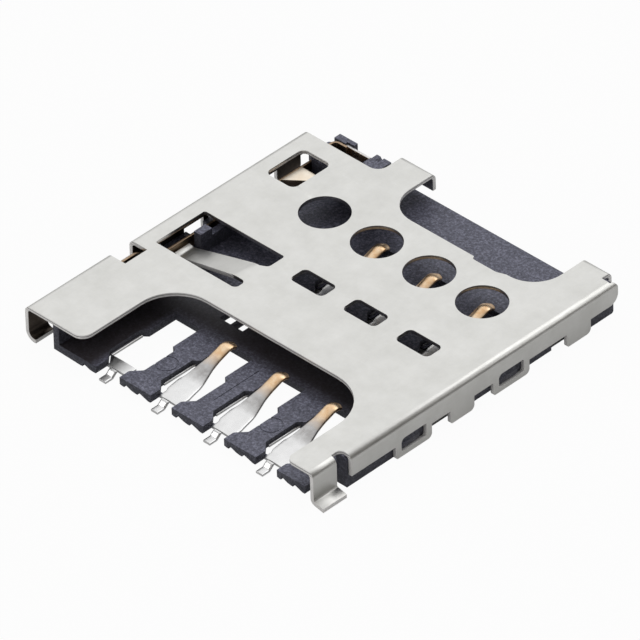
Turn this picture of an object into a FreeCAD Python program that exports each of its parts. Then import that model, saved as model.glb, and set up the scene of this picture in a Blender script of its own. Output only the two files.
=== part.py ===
import FreeCAD, Part
import math
import os

# Micro-SIM card socket, millimetres.
# While it is built, X runs from the left side wall, Y from the card entry and Z up from the board.
# At the end everything is moved, so that the origin is at the middle of the base.

os.makedirs("parts", exist_ok=True)

# Card and contact field of the standard
PITCH = 2.54                 # between neighbouring columns, along X
ROW_SPACING = 7.62           # between the front and the rear row, along Y
COLUMNS = 4                  # places across, and the first one carries no card contact
CARD_WIDTH = 12.0
CARD_PLAY = 0.05             # play of the card in its guides, both sides together

# Sheet of the shell and its clearances
SHEET = 0.15
BEND = 0.27                  # outer radius of the folds
SIDE_GAP = 0.02              # housing to shell wall
CORNER = 0.10                # small punched corner radius

# Widths, from the left wall to the right wall
CHANNEL = 1.265              # room of the switch spring, outer wall face to card guide
GUIDE_WALL = 0.28            # left guide wall of the card
RAIL_WIDTH = 0.485           # right guide rail of the card
SLOT_LEFT = CHANNEL + GUIDE_WALL
SLOT_RIGHT = SLOT_LEFT + CARD_WIDTH + CARD_PLAY
FIELD_MIDDLE = (SLOT_LEFT + SLOT_RIGHT) / 2
FIRST_COLUMN = FIELD_MIDDLE - PITCH * (COLUMNS - 1) / 2
RAIL_RIGHT = SLOT_RIGHT + RAIL_WIDTH
SHELL_WIDTH = RAIL_RIGHT + SIDE_GAP + SHEET
CHANNEL_LEFT = SHEET + SIDE_GAP

# Lengths, from the card entry to the rear
OVERALL_LENGTH = 15.16       # reach of the two rear stop arms
RIGHT_LENGTH = OVERALL_LENGTH - 0.25
LEFT_LENGTH = OVERALL_LENGTH - 1.33
HOUSING_REAR = OVERALL_LENGTH - 0.21

# Heights above the board
SHELL_TOP = 1.45
SHELL_UNDER = SHELL_TOP - SHEET
SKIRT = 0.56                 # lower edge of the side walls
FLOOR_BOTTOM = 0.14
FLOOR_TOP = 0.42
RAIL_BOTTOM = 0.02

# Front cut-out of the shell, where the card is pushed in
MOUTH_LEFT = 2.87
MOUTH_RIGHT = SHELL_WIDTH - 1.55
MOUTH_DEPTH = 4.47
MOUTH_RADIUS_LEFT = 1.60
MOUTH_RADIUS_RIGHT = 1.90
ARM_TIP_RADIUS_LEFT = 0.45
ARM_TIP_RADIUS_RIGHT = 0.30

# Rear cut-out between the stop arms
REAR_CUT_Y = OVERALL_LENGTH - 2.60
REAR_CUT_RADIUS = 1.28
REAR_STEP = 0.14             # shallow step in the straight part of the edge
REAR_STEP_LEFT = FIELD_MIDDLE + 2.01
REAR_STEP_RIGHT = FIELD_MIDDLE + 3.18
STOP_LEFT = 3.72
STOP_WIDTH = 1.51
STOP_ROOT_RADIUS = 0.45
REAR_ARM_LEFT = SHELL_WIDTH - 1.70
REAR_ARM_RIGHT = SHELL_WIDTH - 0.54
STOP_HOOK_BOTTOM = 0.73      # lower edge of the hooks of both arms

# Holes over the contacts
HOLE_DIAMETER = 1.90
HOLE_SHIFT = 0.21            # holes and slots stand right of the contact columns
HOLE_Y = ROW_SPACING + 3.24
SLOT_WIDTH = 1.58
SLOT_DEPTH = 0.82
SLOT_Y = ROW_SPACING + 0.06
SLOT_RADIUS = 0.22

# Window with the card retention finger
FINGER_WINDOW = (0.80, 4.73, 5.62, 8.08)    # left, right, front, rear
FINGER_ROOT_X = 4.45
FINGER_FRONT = 6.14
FINGER_REAR = 7.14
FINGER_TIP_X = 1.05
FINGER_TIP_WIDTH = 0.72
FINGER_TIP_Z = 0.62          # lowest point of the finger's middle line
FINGER_TIP_RISE = 0.07       # the very end turns up by this much

# Window over the switch and notch in the left fold
SWITCH_WINDOW = (0.79, 2.19, LEFT_LENGTH - 2.73, LEFT_LENGTH - 0.80)
SWITCH_WINDOW_RADIUS = 0.27
NOTCH_FRONT = 4.03
NOTCH_REAR = 5.12
NOTCH_WIDTH = 0.90
NOTCH_BOTTOM = 0.76

# Legs and latches of the side walls
RIGHT_LEG_FACE = SHELL_WIDTH - 0.26         # outer face of the right leg
RIGHT_LEG_WIDTH = 1.15
RIGHT_FOOT_TIP = SHELL_WIDTH + 0.19
RIGHT_FOOT_BEND_Z = 0.19
RIGHT_FOOT_RADIUS = 0.16
LEG_SLOT = 0.46              # gap between the right leg and the side wall
LEG_SLOT_LEFT = SHELL_WIDTH - 0.54
LEFT_LEG_WIDTH = 0.90
LEFT_FOOT_REACH = 0.48       # how far the left foot curls in
LEFT_FOOT_RADIUS = 0.40
LOOPS = ((3.78, 5.55), (8.62, 10.42))       # front and rear end of each latch loop
LOOP_BAR = 0.20
LOOP_POST = 0.27
LOOP_WINDOW_TOP = 0.74
TABS = ((6.48, 7.66), (OVERALL_LENGTH - 2.84, OVERALL_LENGTH - 1.64))

# Housing, one moulding
HOUSING_FRONT = 0.25
LEFT_BLOCK_FRONT = 0.11
GUIDE_HIGH_END = 5.40        # the guide wall is lower behind this
GUIDE_LOW_TOP = 1.00
GUIDE_END = 11.20
GUIDE_BOSS = (7.12, 7.68)
GUIDE_GAP = (6.00, 7.12)     # opening of the guide wall for the retention finger
RAIL_FRONT = 1.53
RAIL_END = HOUSING_REAR - 0.10
RAIL_NOTCHES = ((5.72, 7.72), (OVERALL_LENGTH - 3.46, OVERALL_LENGTH - 1.61))
LAST_FOOT_RIGHT = SHELL_WIDTH - 0.91
FLOOR_OPENINGS = ((FIRST_COLUMN + 0.79, 0.54), (FIRST_COLUMN + 1.45, 0.47))    # left side and width
FLOOR_OPENING_REACH = (4.98, 5.52)
CHANNEL_OPENINGS = ((7.72, 8.56), (10.50, OVERALL_LENGTH - 1.26))   # in the floor beside the left wall
SOLE_BOTTOM = 0.08           # the feet stop just above the board
SOLE_RADIUS = 0.06
SOLE_DEPTH = 0.60            # depth of the pads under the feet
EJECTOR_MARKS = ((FIRST_COLUMN + PITCH / 2, 1.89), (FIRST_COLUMN + 5 * PITCH / 2, 1.89))
EJECTOR_DIAMETER = 0.86
GROOVE_X = FIRST_COLUMN + 3.90
GROOVE = (1.50, 3.75)        # front and rear end
MARK_DEPTH = 0.02
MARK_WIDTH = 0.045

# Window round one contact, measured from its column
WINDOW_LEFT_FRONT = -0.41
WINDOW_LEFT_MIDDLE = -0.75
WINDOW_LEFT_REAR = -0.51
WINDOW_RIGHT_FRONT = 0.60
WINDOW_RIGHT_MIDDLE = 0.96
WINDOW_RIGHT_REAR = 0.75
WINDOW_FRONT = -0.30
WINDOW_SHOULDER_FRONT = 0.72
WINDOW_SHOULDER_REAR = 1.10
WINDOW_STEP_Y = 2.72
WINDOW_DEPTH = 4.12
REAR_WEB_FRONT = 2.60        # thin web that closes the rear row's windows under the beam tips
REAR_WEB = (0.04, 0.16)      # its underside and top
REAR_LEDGE_TOP = 0.18        # ledge along the left side of the same windows

# Contacts, stamped strip
STRIP = 0.10                 # thickness
TAIL_WIDTH = 0.34
TAIL_LIFT = 0.02             # under the solder tails, for the solder film
JOGGLE = (0.34, 0.52)        # where the tail rises to the plate
PLATE_FRONT = 0.57
PLATE_TOP = 0.28
PLATE_SIDE_GAP = 0.03        # to the feet of the housing
PLATE_LEFT = -0.55           # left edge behind the foot of the housing
PLATE_NECK_LEFT = -0.47
PLATE_NECK_Y = 1.00
TAPER_Y = (1.15, 2.75)       # right edge of the blade, from plate to beam
BEAM_NECK_Y = 3.10           # left edge, where the beam has its full slimness
BEAM_START_Y = 1.95          # where the beam begins to rise
BEAM_MIDDLE = -0.01
BEAM_WIDTH = 0.48
RISE_Y = 3.02
RISE_Z = 0.72
RISE_RADIUS = 1.20
CREST_Y = 3.62
CREST_TOP = 0.95
CREST_RADIUS = 0.45
BEAM_END_Y = 3.93
BEAM_END_TOP = 0.84
SHORT_PLATE_REAR = 1.12      # plate of the first column, which has no beam
RUNNER_REAR = 2.60           # its runner along the left block
RUNNER_WIDTH = 0.12

# Card switch
SPRING_THICKNESS = 0.09
SPRING_BOTTOM = 0.50
SPRING_TOP = 1.18
SPRING_ROOT_X = 0.47
SPRING_ROOT_FRONT = 2.36
SPRING_FOOT_WIDTH = 0.50
SPRING_JOG = (4.95, 5.90)
SPRING_BEAM_X = 0.95
SPRING_REAR_X = 1.04
SPRING_END_X = 1.60
SWITCH_GAP = 0.04            # open gap of the switch at rest
FLAG_TOP = 0.98
FLAG_FRONT = OVERALL_LENGTH - 3.56
FLAG_DEPTH = 1.06
FLAG_RIGHT = 1.86
FLAG_CHAMFER = 0.68
FLAG_LIP = 0.35
ROOT_BLOCK = (2.30, 3.50)    # block that clamps the switch spring
ROOT_GAP = 0.035
SWITCH_BLOCK_TOP = 1.20
SWITCH_BLOCK_LEFT = 0.90
SWITCH_BLOCK_RIGHT = 3.42
SWITCH_BLOCK_FRONT = HOUSING_REAR - 1.90
SWITCH_BLOCK_REAR = HOUSING_REAR - 0.17
SADDLE = (1.77, 2.72)        # low stretch of its rear wall, left and right end
SADDLE_DEPTH = 0.30
CLEFT = (2.98, 0.09)         # small vee in the top of its rear wall, place and half width
SWITCH_SLOT = (HOUSING_REAR - 0.95, HOUSING_REAR - 0.47)
SPRING_CURL_Y = SWITCH_SLOT[1] - SWITCH_GAP - SPRING_THICKNESS / 2
TERMINAL_LEFT = 1.46
TERMINAL_RIGHT = 2.66
TERMINAL_TOP = 1.12
TERMINAL_BOTTOM = 0.46
TERMINAL_FOOT_WIDTH = 0.40
TERMINAL_GAP = 0.02          # to the pocket that holds it


def column_x(column):
    return FIRST_COLUMN + PITCH * column


def round_corner(before, at, after, radius, offset=0.0):
    """Start, middle and end of the arc at one corner of a path, moved aside by an offset."""
    incoming = (at - before).normalize()
    outgoing = (after - at).normalize()
    turn = incoming.x * outgoing.y - incoming.y * outgoing.x
    half = incoming.getAngle(outgoing) / 2
    reach = radius * math.tan(half)
    start = at - incoming * reach
    end = at + outgoing * reach
    side = 1 if turn > 0 else -1
    normal = FreeCAD.Vector(-incoming.y, incoming.x, 0) * side
    centre = start + normal * radius
    scale = (radius - side * offset) / radius
    middle = centre + (at - centre).normalize() * radius
    return [centre + (point - centre) * scale for point in (start, middle, end)]


def chain(places, closed, offset=0.0):
    """Edges through places (u, v, corner radius) in the XY plane."""
    points = [FreeCAD.Vector(place[0], place[1], 0) for place in places]
    radii = [place[2] if len(place) > 2 else 0 for place in places]
    count = len(points)
    stops = []
    for i in range(count):
        ends_here = not closed and i in (0, count - 1)
        if ends_here:
            along = (points[1] - points[0]) if i == 0 else (points[-1] - points[-2])
            along.normalize()
            stops.append([points[i] + FreeCAD.Vector(-along.y, along.x, 0) * offset])
        elif radii[i] > 0:
            stops.append(round_corner(points[i - 1], points[i], points[(i + 1) % count], radii[i], offset))
        else:
            stops.append([points[i]])
    edges = []
    for i, stop in enumerate(stops):
        if len(stop) == 3:
            edges.append(Part.Arc(*stop).toShape())
        if closed or i < count - 1:
            onward = stops[(i + 1) % count][0]
            if stop[-1].distanceToPoint(onward) > 1e-6:
                edges.append(Part.makeLine(stop[-1], onward))
    return edges


def outline(places):
    """Face with rounded corners in the XY plane."""
    return Part.Face(Part.Wire(chain(places, True)))


def band(places, thickness):
    """Face of a bent strip, from its middle line, in the XY plane."""
    near = chain(places, False, thickness / 2)
    far = chain(places, False, -thickness / 2)
    caps = [Part.makeLine(near[0].Vertexes[0].Point, far[0].Vertexes[0].Point),
            Part.makeLine(near[-1].Vertexes[-1].Point, far[-1].Vertexes[-1].Point)]
    return Part.Face(Part.Wire(Part.__sortEdges__(near + far + caps)))


def stand(face, z_low, z_high):
    """Plan outline made into a solid between two heights."""
    solid = face.extrude(FreeCAD.Vector(0, 0, z_high - z_low))
    solid.translate(FreeCAD.Vector(0, 0, z_low))
    return solid


def across_y(face, y_low, y_high):
    """Outline drawn as (X, Z) made into a solid along Y."""
    solid = face.extrude(FreeCAD.Vector(0, 0, y_low - y_high))
    solid.rotate(FreeCAD.Vector(0, 0, 0), FreeCAD.Vector(1, 0, 0), 90)
    solid.translate(FreeCAD.Vector(0, y_low, 0))
    return solid


def across_x(face, x_low, x_high):
    """Outline drawn as (Y, Z) made into a solid along X."""
    solid = face.extrude(FreeCAD.Vector(0, 0, x_high - x_low))
    solid.rotate(FreeCAD.Vector(0, 0, 0), FreeCAD.Vector(1, 0, 0), 90)
    solid.rotate(FreeCAD.Vector(0, 0, 0), FreeCAD.Vector(0, 0, 1), 90)
    solid.translate(FreeCAD.Vector(x_low, 0, 0))
    return solid


def block(x_low, x_high, y_low, y_high, z_low, z_high):
    corner = FreeCAD.Vector(x_low, y_low, z_low)
    return Part.makeBox(x_high - x_low, y_high - y_low, z_high - z_low, corner)


def rounded_window(left, right, front, rear, radius):
    return outline([(left, front, radius), (right, front, radius), (right, rear, radius), (left, rear, radius)])


def punch(faces):
    """Cutter through the shell's top for plan outlines."""
    return [stand(face, SHELL_TOP - BEND - SHEET, SHELL_TOP + SHEET) for face in faces]


def mouth_outline():
    out = -SHEET
    return outline([
        (MOUTH_LEFT - ARM_TIP_RADIUS_LEFT, out), (MOUTH_LEFT - ARM_TIP_RADIUS_LEFT, 0),
        (MOUTH_LEFT, 0, ARM_TIP_RADIUS_LEFT),
        (MOUTH_LEFT, MOUTH_DEPTH, MOUTH_RADIUS_LEFT), (MOUTH_RIGHT, MOUTH_DEPTH, MOUTH_RADIUS_RIGHT),
        (MOUTH_RIGHT, 0, ARM_TIP_RADIUS_RIGHT),
        (MOUTH_RIGHT + ARM_TIP_RADIUS_RIGHT, 0), (MOUTH_RIGHT + ARM_TIP_RADIUS_RIGHT, out)])


def rear_outline():
    """Waste behind the top plate: the left edge, both arms and the cut-out between them."""
    out = OVERALL_LENGTH + SHEET
    stop_right = STOP_LEFT + STOP_WIDTH
    return outline([
        (-SHEET, out), (-SHEET, LEFT_LENGTH), (STOP_LEFT, LEFT_LENGTH, STOP_ROOT_RADIUS),
        (STOP_LEFT, out - SHEET / 2), (stop_right, out - SHEET / 2),
        (stop_right, REAR_CUT_Y, REAR_CUT_RADIUS),
        (REAR_STEP_LEFT, REAR_CUT_Y, 0.05), (REAR_STEP_LEFT + REAR_STEP / 2, REAR_CUT_Y - REAR_STEP, 0.05),
        (REAR_STEP_RIGHT, REAR_CUT_Y - REAR_STEP, 0.2), (REAR_STEP_RIGHT + 0.4, REAR_CUT_Y),
        (REAR_ARM_LEFT, REAR_CUT_Y, REAR_CUT_RADIUS),
        (REAR_ARM_LEFT, out - SHEET / 2), (REAR_ARM_RIGHT, out - SHEET / 2),
        (REAR_ARM_RIGHT, RIGHT_LENGTH - BEND, 0.05), (SHELL_WIDTH - BEND / 2, RIGHT_LENGTH - BEND, 0.05),
        (SHELL_WIDTH - BEND / 2, RIGHT_LENGTH), (SHELL_WIDTH + SHEET, RIGHT_LENGTH), (SHELL_WIDTH + SHEET, out)])


def finger_window_outline():
    """Window round the retention finger, as far as its root, with a rounded relief on each side."""
    left, right, front, rear = FINGER_WINDOW
    return outline([
        (left, front, CORNER), (right, front, 0.2), (right, FINGER_FRONT, 0.2),
        (FINGER_ROOT_X, FINGER_FRONT), (FINGER_ROOT_X, FINGER_REAR),
        (right, FINGER_REAR + 0.15, 0.2), (right, rear, CORNER), (left, rear, CORNER)])


def right_corner_outline():
    """Waste beside the right leg, whose fold stands further in, and the slot behind it."""
    front = RIGHT_LEG_WIDTH
    rear = RIGHT_LEG_WIDTH + LEG_SLOT
    out = SHELL_WIDTH + SHEET
    fold = RIGHT_LEG_FACE - BEND
    return outline([(fold, -SHEET), (out, -SHEET), (out, rear), (LEG_SLOT_LEFT, rear, 0.2),
                    (LEG_SLOT_LEFT, front, 0.05), (fold, front)])


def top_cutters():
    """Everything punched out of the top plate and its folds."""
    faces = [mouth_outline(), rear_outline(), finger_window_outline(), right_corner_outline()]
    faces.append(rounded_window(*SWITCH_WINDOW, SWITCH_WINDOW_RADIUS))
    for column in range(COLUMNS):
        middle = column_x(column) + HOLE_SHIFT
        hole = Part.Wire(Part.makeCircle(HOLE_DIAMETER / 2, FreeCAD.Vector(middle, HOLE_Y, 0)))
        faces.append(Part.Face(hole))
        if column > 0:
            faces.append(rounded_window(middle - SLOT_WIDTH / 2, middle + SLOT_WIDTH / 2,
                                        SLOT_Y - SLOT_DEPTH / 2, SLOT_Y + SLOT_DEPTH / 2, SLOT_RADIUS))
    return punch(faces)


def skirt_waste(front, rear, tabs, loops):
    """Waste under one side wall, as an outline in (Y, Z): open below the skirt except at tabs and loops."""
    waste = outline([(front, -SHEET), (rear, -SHEET), (rear, SKIRT), (front, SKIRT)])
    for tab_front, tab_rear in tabs:
        keep = outline([(tab_front, 0, CORNER), (tab_rear, 0, 0.2), (tab_rear, SKIRT + CORNER), (tab_front, SKIRT + CORNER)])
        waste = waste.cut(keep)
    for loop_front, loop_rear in loops:
        keep = outline([(loop_front, 0, CORNER), (loop_rear, 0, 0.2), (loop_rear, SKIRT + CORNER), (loop_front, SKIRT + CORNER)])
        waste = waste.cut(keep)
    return waste


def loop_window(loop_front, loop_rear):
    return outline([(loop_front + LOOP_POST, LOOP_BAR, CORNER), (loop_rear - LOOP_POST, LOOP_BAR, CORNER),
                    (loop_rear - LOOP_POST, LOOP_WINDOW_TOP, 0.06), (loop_front + LOOP_POST, LOOP_WINDOW_TOP, 0.18)])


def skirt_end_outline():
    """Waste behind and below the rear end of the right wall, as an outline in (Y, Z)."""
    out = OVERALL_LENGTH + SHEET
    return outline([(RIGHT_LENGTH, SHELL_TOP - BEND), (RIGHT_LENGTH, SKIRT, 0.4), (RIGHT_LENGTH - 0.8, SKIRT),
                    (RIGHT_LENGTH - 0.8, -SHEET), (out, -SHEET), (out, SHELL_TOP - BEND)])


def wall_cutters():
    """Side walls cut to their skirts, tabs, loops and rounded ends."""
    inner = BEND + SHEET
    cutters = []
    right = (SHELL_WIDTH - inner, SHELL_WIDTH + SHEET)
    left = (-SHEET, inner)
    cutters.append(across_x(skirt_waste(-SHEET, OVERALL_LENGTH + SHEET, TABS, LOOPS), *right))
    cutters.append(across_x(skirt_waste(-SHEET, OVERALL_LENGTH + SHEET, TABS, LOOPS[1:]), *left))
    for loop in LOOPS:
        cutters.append(across_x(loop_window(*loop), *right))
    cutters.append(across_x(loop_window(*LOOPS[1]), *left))
    wall_front = RIGHT_LEG_WIDTH + LEG_SLOT
    cutters.append(block(SHELL_WIDTH - inner, SHELL_WIDTH + SHEET, -SHEET, wall_front, -SHEET, SHELL_TOP - BEND))
    out = OVERALL_LENGTH + SHEET
    rear_end = outline([(RIGHT_LENGTH - 0.5, SHELL_TOP + SHEET), (RIGHT_LENGTH, SHELL_TOP - BEND / 2, 0.2),
                        (RIGHT_LENGTH, SKIRT, 0.4), (RIGHT_LENGTH - 0.8, SKIRT), (RIGHT_LENGTH - 0.8, -SHEET),
                        (out, -SHEET), (out, SHELL_TOP + SHEET)])
    cutters.append(across_x(rear_end, SHELL_WIDTH - BEND / 2, SHELL_WIDTH + SHEET))
    cutters.append(across_x(skirt_end_outline(), *right))
    cutters.append(block(-SHEET, inner, LEFT_LENGTH, out, -SHEET, SHELL_TOP + SHEET))
    cutters.append(block(-SHEET, NOTCH_WIDTH, NOTCH_FRONT, NOTCH_REAR, NOTCH_BOTTOM, SHELL_TOP + SHEET))
    return cutters


def right_leg():
    """Front right leg, folded down inside the line of the wall and splayed out at the board."""
    middle = SHEET / 2
    face = RIGHT_LEG_FACE - middle
    splay = band([(RIGHT_LEG_FACE - 2 * BEND, SHELL_TOP - middle), (face, SHELL_TOP - middle, BEND - middle),
                  (face, RIGHT_FOOT_BEND_Z, RIGHT_FOOT_RADIUS), (RIGHT_FOOT_TIP + middle, middle * 0.8)], SHEET)
    leg = across_y(splay, 0, RIGHT_LEG_WIDTH)
    return leg.common(block(0, RIGHT_FOOT_TIP, 0, RIGHT_LEG_WIDTH, 0, SHELL_TOP))


def left_leg():
    """Front left leg, curled in under the wall."""
    middle = SHEET / 2
    curl = band([(middle, SHELL_TOP - BEND), (middle, middle, LEFT_FOOT_RADIUS - middle),
                 (LEFT_FOOT_REACH, middle)], SHEET)
    return across_y(curl, 0, LEFT_LEG_WIDTH)


def stop_hook(left, right, reach):
    """Rear end of a stop arm, bent down behind the card."""
    middle = SHEET / 2
    hook = band([(reach - 2 * BEND, SHELL_TOP - middle), (reach - middle, SHELL_TOP - middle, BEND - middle),
                 (reach - middle, STOP_HOOK_BOTTOM)], SHEET)
    return across_x(hook, left, right)


def retention_finger():
    """Sprung finger cut free from the top and bent down into the card's path."""
    middle = SHEET / 2
    root_z = SHELL_TOP - middle
    rise_x = FINGER_TIP_X + 0.24
    profile = band([(FINGER_ROOT_X + 0.3, root_z), (FINGER_ROOT_X - 0.2, root_z, 1.2),
                    (rise_x, FINGER_TIP_Z, 0.3), (FINGER_TIP_X, FINGER_TIP_Z + FINGER_TIP_RISE)], SHEET)
    finger = across_y(profile, FINGER_FRONT, FINGER_REAR)
    taper = (FINGER_REAR - FINGER_FRONT - FINGER_TIP_WIDTH) / 2
    plan = outline([(FINGER_TIP_X, FINGER_FRONT + taper), (FINGER_ROOT_X, FINGER_FRONT),
                    (FINGER_ROOT_X + 0.3, FINGER_FRONT), (FINGER_ROOT_X + 0.3, FINGER_REAR),
                    (FINGER_TIP_X, FINGER_REAR - taper)])
    return finger.common(stand(plan, 0, SHELL_TOP))


def make_shell():
    """Folded cover: top plate, two side walls, legs, stop hooks and the retention finger."""
    middle = SHEET / 2
    section = band([(middle, 0), (middle, SHELL_TOP - middle, BEND - middle),
                    (SHELL_WIDTH - middle, SHELL_TOP - middle, BEND - middle), (SHELL_WIDTH - middle, 0)], SHEET)
    left_foot_waste = block(-SHEET, BEND + SHEET, -SHEET, LEFT_LEG_WIDTH, -SHEET, SHELL_TOP - BEND)
    reach = OVERALL_LENGTH - BEND
    arm_waste = block(-SHEET, REAR_ARM_RIGHT + CORNER, reach, OVERALL_LENGTH + SHEET, -SHEET, SHELL_TOP + SHEET)
    shell = across_y(section, 0, max(reach, RIGHT_LENGTH))
    shell = shell.cut(top_cutters() + wall_cutters() + [left_foot_waste, arm_waste])
    extras = [right_leg(), left_leg(), retention_finger()]
    extras.append(stop_hook(STOP_LEFT, STOP_LEFT + STOP_WIDTH, OVERALL_LENGTH))
    extras.append(stop_hook(REAR_ARM_LEFT, REAR_ARM_RIGHT, OVERALL_LENGTH))
    return shell.fuse(extras).removeSplitter()


def contact_window(column_middle, row_y):
    """Opening of the housing round one contact, with the bell shape of the feet beside it."""
    def place(x, y, radius=0.0):
        return (column_middle + x, row_y + y, radius)
    return outline([
        place(WINDOW_LEFT_FRONT, WINDOW_FRONT), place(WINDOW_RIGHT_FRONT, WINDOW_FRONT),
        place(WINDOW_RIGHT_FRONT, WINDOW_SHOULDER_FRONT, 0.12),
        place(WINDOW_RIGHT_MIDDLE, WINDOW_SHOULDER_REAR, 0.12),
        place(WINDOW_RIGHT_MIDDLE, WINDOW_STEP_Y - 0.1), place(WINDOW_RIGHT_REAR, WINDOW_STEP_Y),
        place(WINDOW_RIGHT_REAR, WINDOW_DEPTH), place(WINDOW_LEFT_REAR, WINDOW_DEPTH),
        place(WINDOW_LEFT_REAR, WINDOW_STEP_Y + 0.1), place(WINDOW_LEFT_MIDDLE, WINDOW_STEP_Y - 0.1),
        place(WINDOW_LEFT_MIDDLE, WINDOW_SHOULDER_REAR), place(WINDOW_LEFT_FRONT, WINDOW_SHOULDER_FRONT)])


def housing_floor():
    """Floor plate with the windows of the contacts."""
    first_foot = column_x(0) + WINDOW_LEFT_FRONT
    plan = outline([
        (CHANNEL, LEFT_BLOCK_FRONT, 0.05), (first_foot, LEFT_BLOCK_FRONT), (first_foot, HOUSING_FRONT),
        (LAST_FOOT_RIGHT, HOUSING_FRONT), (LAST_FOOT_RIGHT, RAIL_FRONT), (RAIL_RIGHT, RAIL_FRONT),
        (RAIL_RIGHT, RAIL_END, 0.1), (RAIL_RIGHT - BEND, HOUSING_REAR), (CHANNEL_LEFT, HOUSING_REAR, 0.1),
        (CHANNEL_LEFT, ROOT_BLOCK[0]), (CHANNEL, ROOT_BLOCK[0])])
    floor = stand(plan, FLOOR_BOTTOM, FLOOR_TOP)
    windows = [contact_window(column_x(0), 0)]
    for column in range(1, COLUMNS):
        windows.append(contact_window(column_x(column), 0))
        windows.append(contact_window(column_x(column), ROW_SPACING))
    near, far = FLOOR_OPENING_REACH
    for left, width in FLOOR_OPENINGS:
        windows.append(outline([(left, near), (left + width, near), (left + width, far), (left, far)]))
    for front, rear in CHANNEL_OPENINGS:
        windows.append(outline([(CHANNEL_LEFT - 1, front), (CHANNEL - GUIDE_WALL, front),
                                (CHANNEL - GUIDE_WALL, rear), (CHANNEL_LEFT - 1, rear)]))
    return floor.cut([stand(window, FLOOR_BOTTOM - 1, FLOOR_TOP + 1) for window in windows])


def rear_webs():
    """Thin web and ledge at the bottom of each window of the rear row, clear of the pressed contact."""
    webs = []
    for column in range(1, COLUMNS):
        x = column_x(column)
        left = x + WINDOW_LEFT_MIDDLE - PLATE_SIDE_GAP
        right = x + WINDOW_RIGHT_MIDDLE + PLATE_SIDE_GAP
        front = ROW_SPACING + REAR_WEB_FRONT
        webs.append(block(left, right, front, ROW_SPACING + WINDOW_DEPTH + PLATE_SIDE_GAP, *REAR_WEB))
        webs.append(block(left, x + PLATE_LEFT - PLATE_SIDE_GAP, ROW_SPACING + WINDOW_SHOULDER_REAR, front,
                          FLOOR_BOTTOM, REAR_LEDGE_TOP))
    return webs


def foot_sole(left, right):
    """Underside of one foot: three low points just above the board, with notches between them."""
    width = right - left
    top = FLOOR_BOTTOM + 0.04
    sole = outline([
        (left, top), (left, SOLE_BOTTOM + 0.04), (left + 0.08 * width, SOLE_BOTTOM + 0.01),
        (left + 0.14 * width, SOLE_BOTTOM + 0.01), (left + 0.16 * width, FLOOR_BOTTOM),
        (left + 0.28 * width, FLOOR_BOTTOM), (left + 0.50 * width, SOLE_BOTTOM + 0.01, SOLE_RADIUS),
        (left + 0.56 * width, SOLE_BOTTOM + 0.01), (left + 0.59 * width, FLOOR_BOTTOM),
        (left + 0.66 * width, FLOOR_BOTTOM - 0.02), (left + 0.77 * width, FLOOR_BOTTOM - 0.03),
        (left + 0.80 * width, SOLE_BOTTOM), (right, SOLE_BOTTOM, SOLE_RADIUS), (right, top)])
    return across_y(sole, HOUSING_FRONT, HOUSING_FRONT + SOLE_DEPTH)


def housing_pads():
    """Soles under the feet, and pads under the left block, the rear edge and the right rail."""
    high = FLOOR_BOTTOM + 0.06
    pads = []
    for column in range(COLUMNS):
        right = min(column_x(column) + PITCH + WINDOW_LEFT_FRONT, LAST_FOOT_RIGHT)
        pads.append(foot_sole(column_x(column) + WINDOW_RIGHT_FRONT, right))
    block_right = column_x(0) + WINDOW_LEFT_FRONT
    left_sole = outline([
        (CHANNEL, high), (CHANNEL, FLOOR_BOTTOM - 0.02), (CHANNEL + 0.28, SOLE_BOTTOM + 0.03),
        (CHANNEL + 1.28, SOLE_BOTTOM), (CHANNEL + 1.40, SOLE_BOTTOM + 0.01), (CHANNEL + 1.44, FLOOR_BOTTOM - 0.02),
        (CHANNEL + 1.70, FLOOR_BOTTOM - 0.02), (block_right - 0.15, SOLE_BOTTOM + 0.03),
        (block_right, SOLE_BOTTOM + 0.03, SOLE_RADIUS),
        (block_right, high)])
    pads.append(across_y(left_sole, LEFT_BLOCK_FRONT, LEFT_BLOCK_FRONT + SOLE_DEPTH))
    for x in (CHANNEL, FIELD_MIDDLE, SLOT_RIGHT - 0.6):
        pads.append(block(x, x + 0.6, HOUSING_REAR - 0.7, HOUSING_REAR - 0.1, 0, high))
    rail_sole = outline([(RAIL_FRONT, high), (RAIL_FRONT, RAIL_BOTTOM), (RAIL_NOTCHES[0][0], RAIL_BOTTOM),
                         (RAIL_NOTCHES[0][0], high)])
    pads.append(across_x(rail_sole, SLOT_RIGHT, RAIL_RIGHT))
    rear_sole = outline([(RAIL_NOTCHES[1][1], high), (RAIL_NOTCHES[1][1], RAIL_BOTTOM),
                         (RAIL_END, RAIL_BOTTOM, 0.1), (RAIL_END, high)])
    pads.append(across_x(rear_sole, SLOT_RIGHT, RAIL_RIGHT))
    return pads


def loop_lug(loop_front, loop_rear):
    """Lug of the right rail that catches in a loop of the shell."""
    lug = outline([(RAIL_RIGHT - 0.1, LOOP_BAR + 0.06), (RAIL_RIGHT + 0.1, LOOP_BAR + 0.06),
                   (RAIL_RIGHT + SHEET - SIDE_GAP, LOOP_WINDOW_TOP - 0.25, 0.05), (RAIL_RIGHT, LOOP_WINDOW_TOP - 0.04),
                   (RAIL_RIGHT - 0.1, LOOP_WINDOW_TOP - 0.04)])
    return across_y(lug, loop_front + LOOP_POST + 0.05, loop_rear - LOOP_POST - 0.3)


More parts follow.
